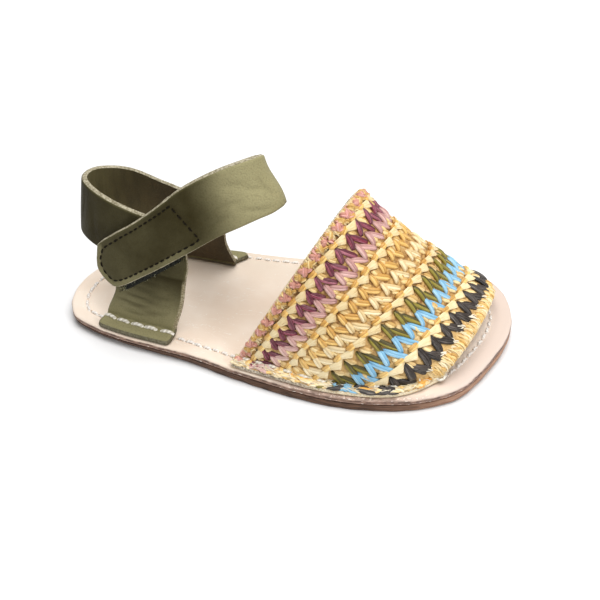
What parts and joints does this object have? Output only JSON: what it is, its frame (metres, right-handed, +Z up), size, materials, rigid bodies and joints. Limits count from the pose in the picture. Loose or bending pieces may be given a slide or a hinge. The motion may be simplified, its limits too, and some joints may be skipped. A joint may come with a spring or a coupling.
{
  "type": "avarca sandal",
  "caption": "Flat child's sandal for the right foot with a woven open-toed vamp, a leather heel band and an ankle strap closed by hook and loop.",
  "frame": {"origin": "on the floor, at the middle of the sole's length and width", "axes": "+X from the heel to the toe, +Y to the big-toe side, +Z up"},
  "size_m": [0.1396, 0.0684, 0.0658],
  "materials": {
    "brown_sole": "matt brown sole with a raw cut edge",
    "pale_leather": "natural pale leather, smooth with fine scratches",
    "woven_straw": "glossy straw strands woven in coloured rows",
    "olive_leather": "olive leather with a soft sheen and pale cut edges",
    "loop_fabric": "dark fuzzy loops",
    "hook_fabric": "dark tape with fine stiff hooks"
  },
  "bodies": {
    "root": {"outsole": "brown_sole", "footbed": "pale_leather", "vamp": "woven_straw", "straps": "olive_leather", "loop_tape": "loop_fabric", "hook_tape": "hook_fabric"}
  },
  "joints": []
}
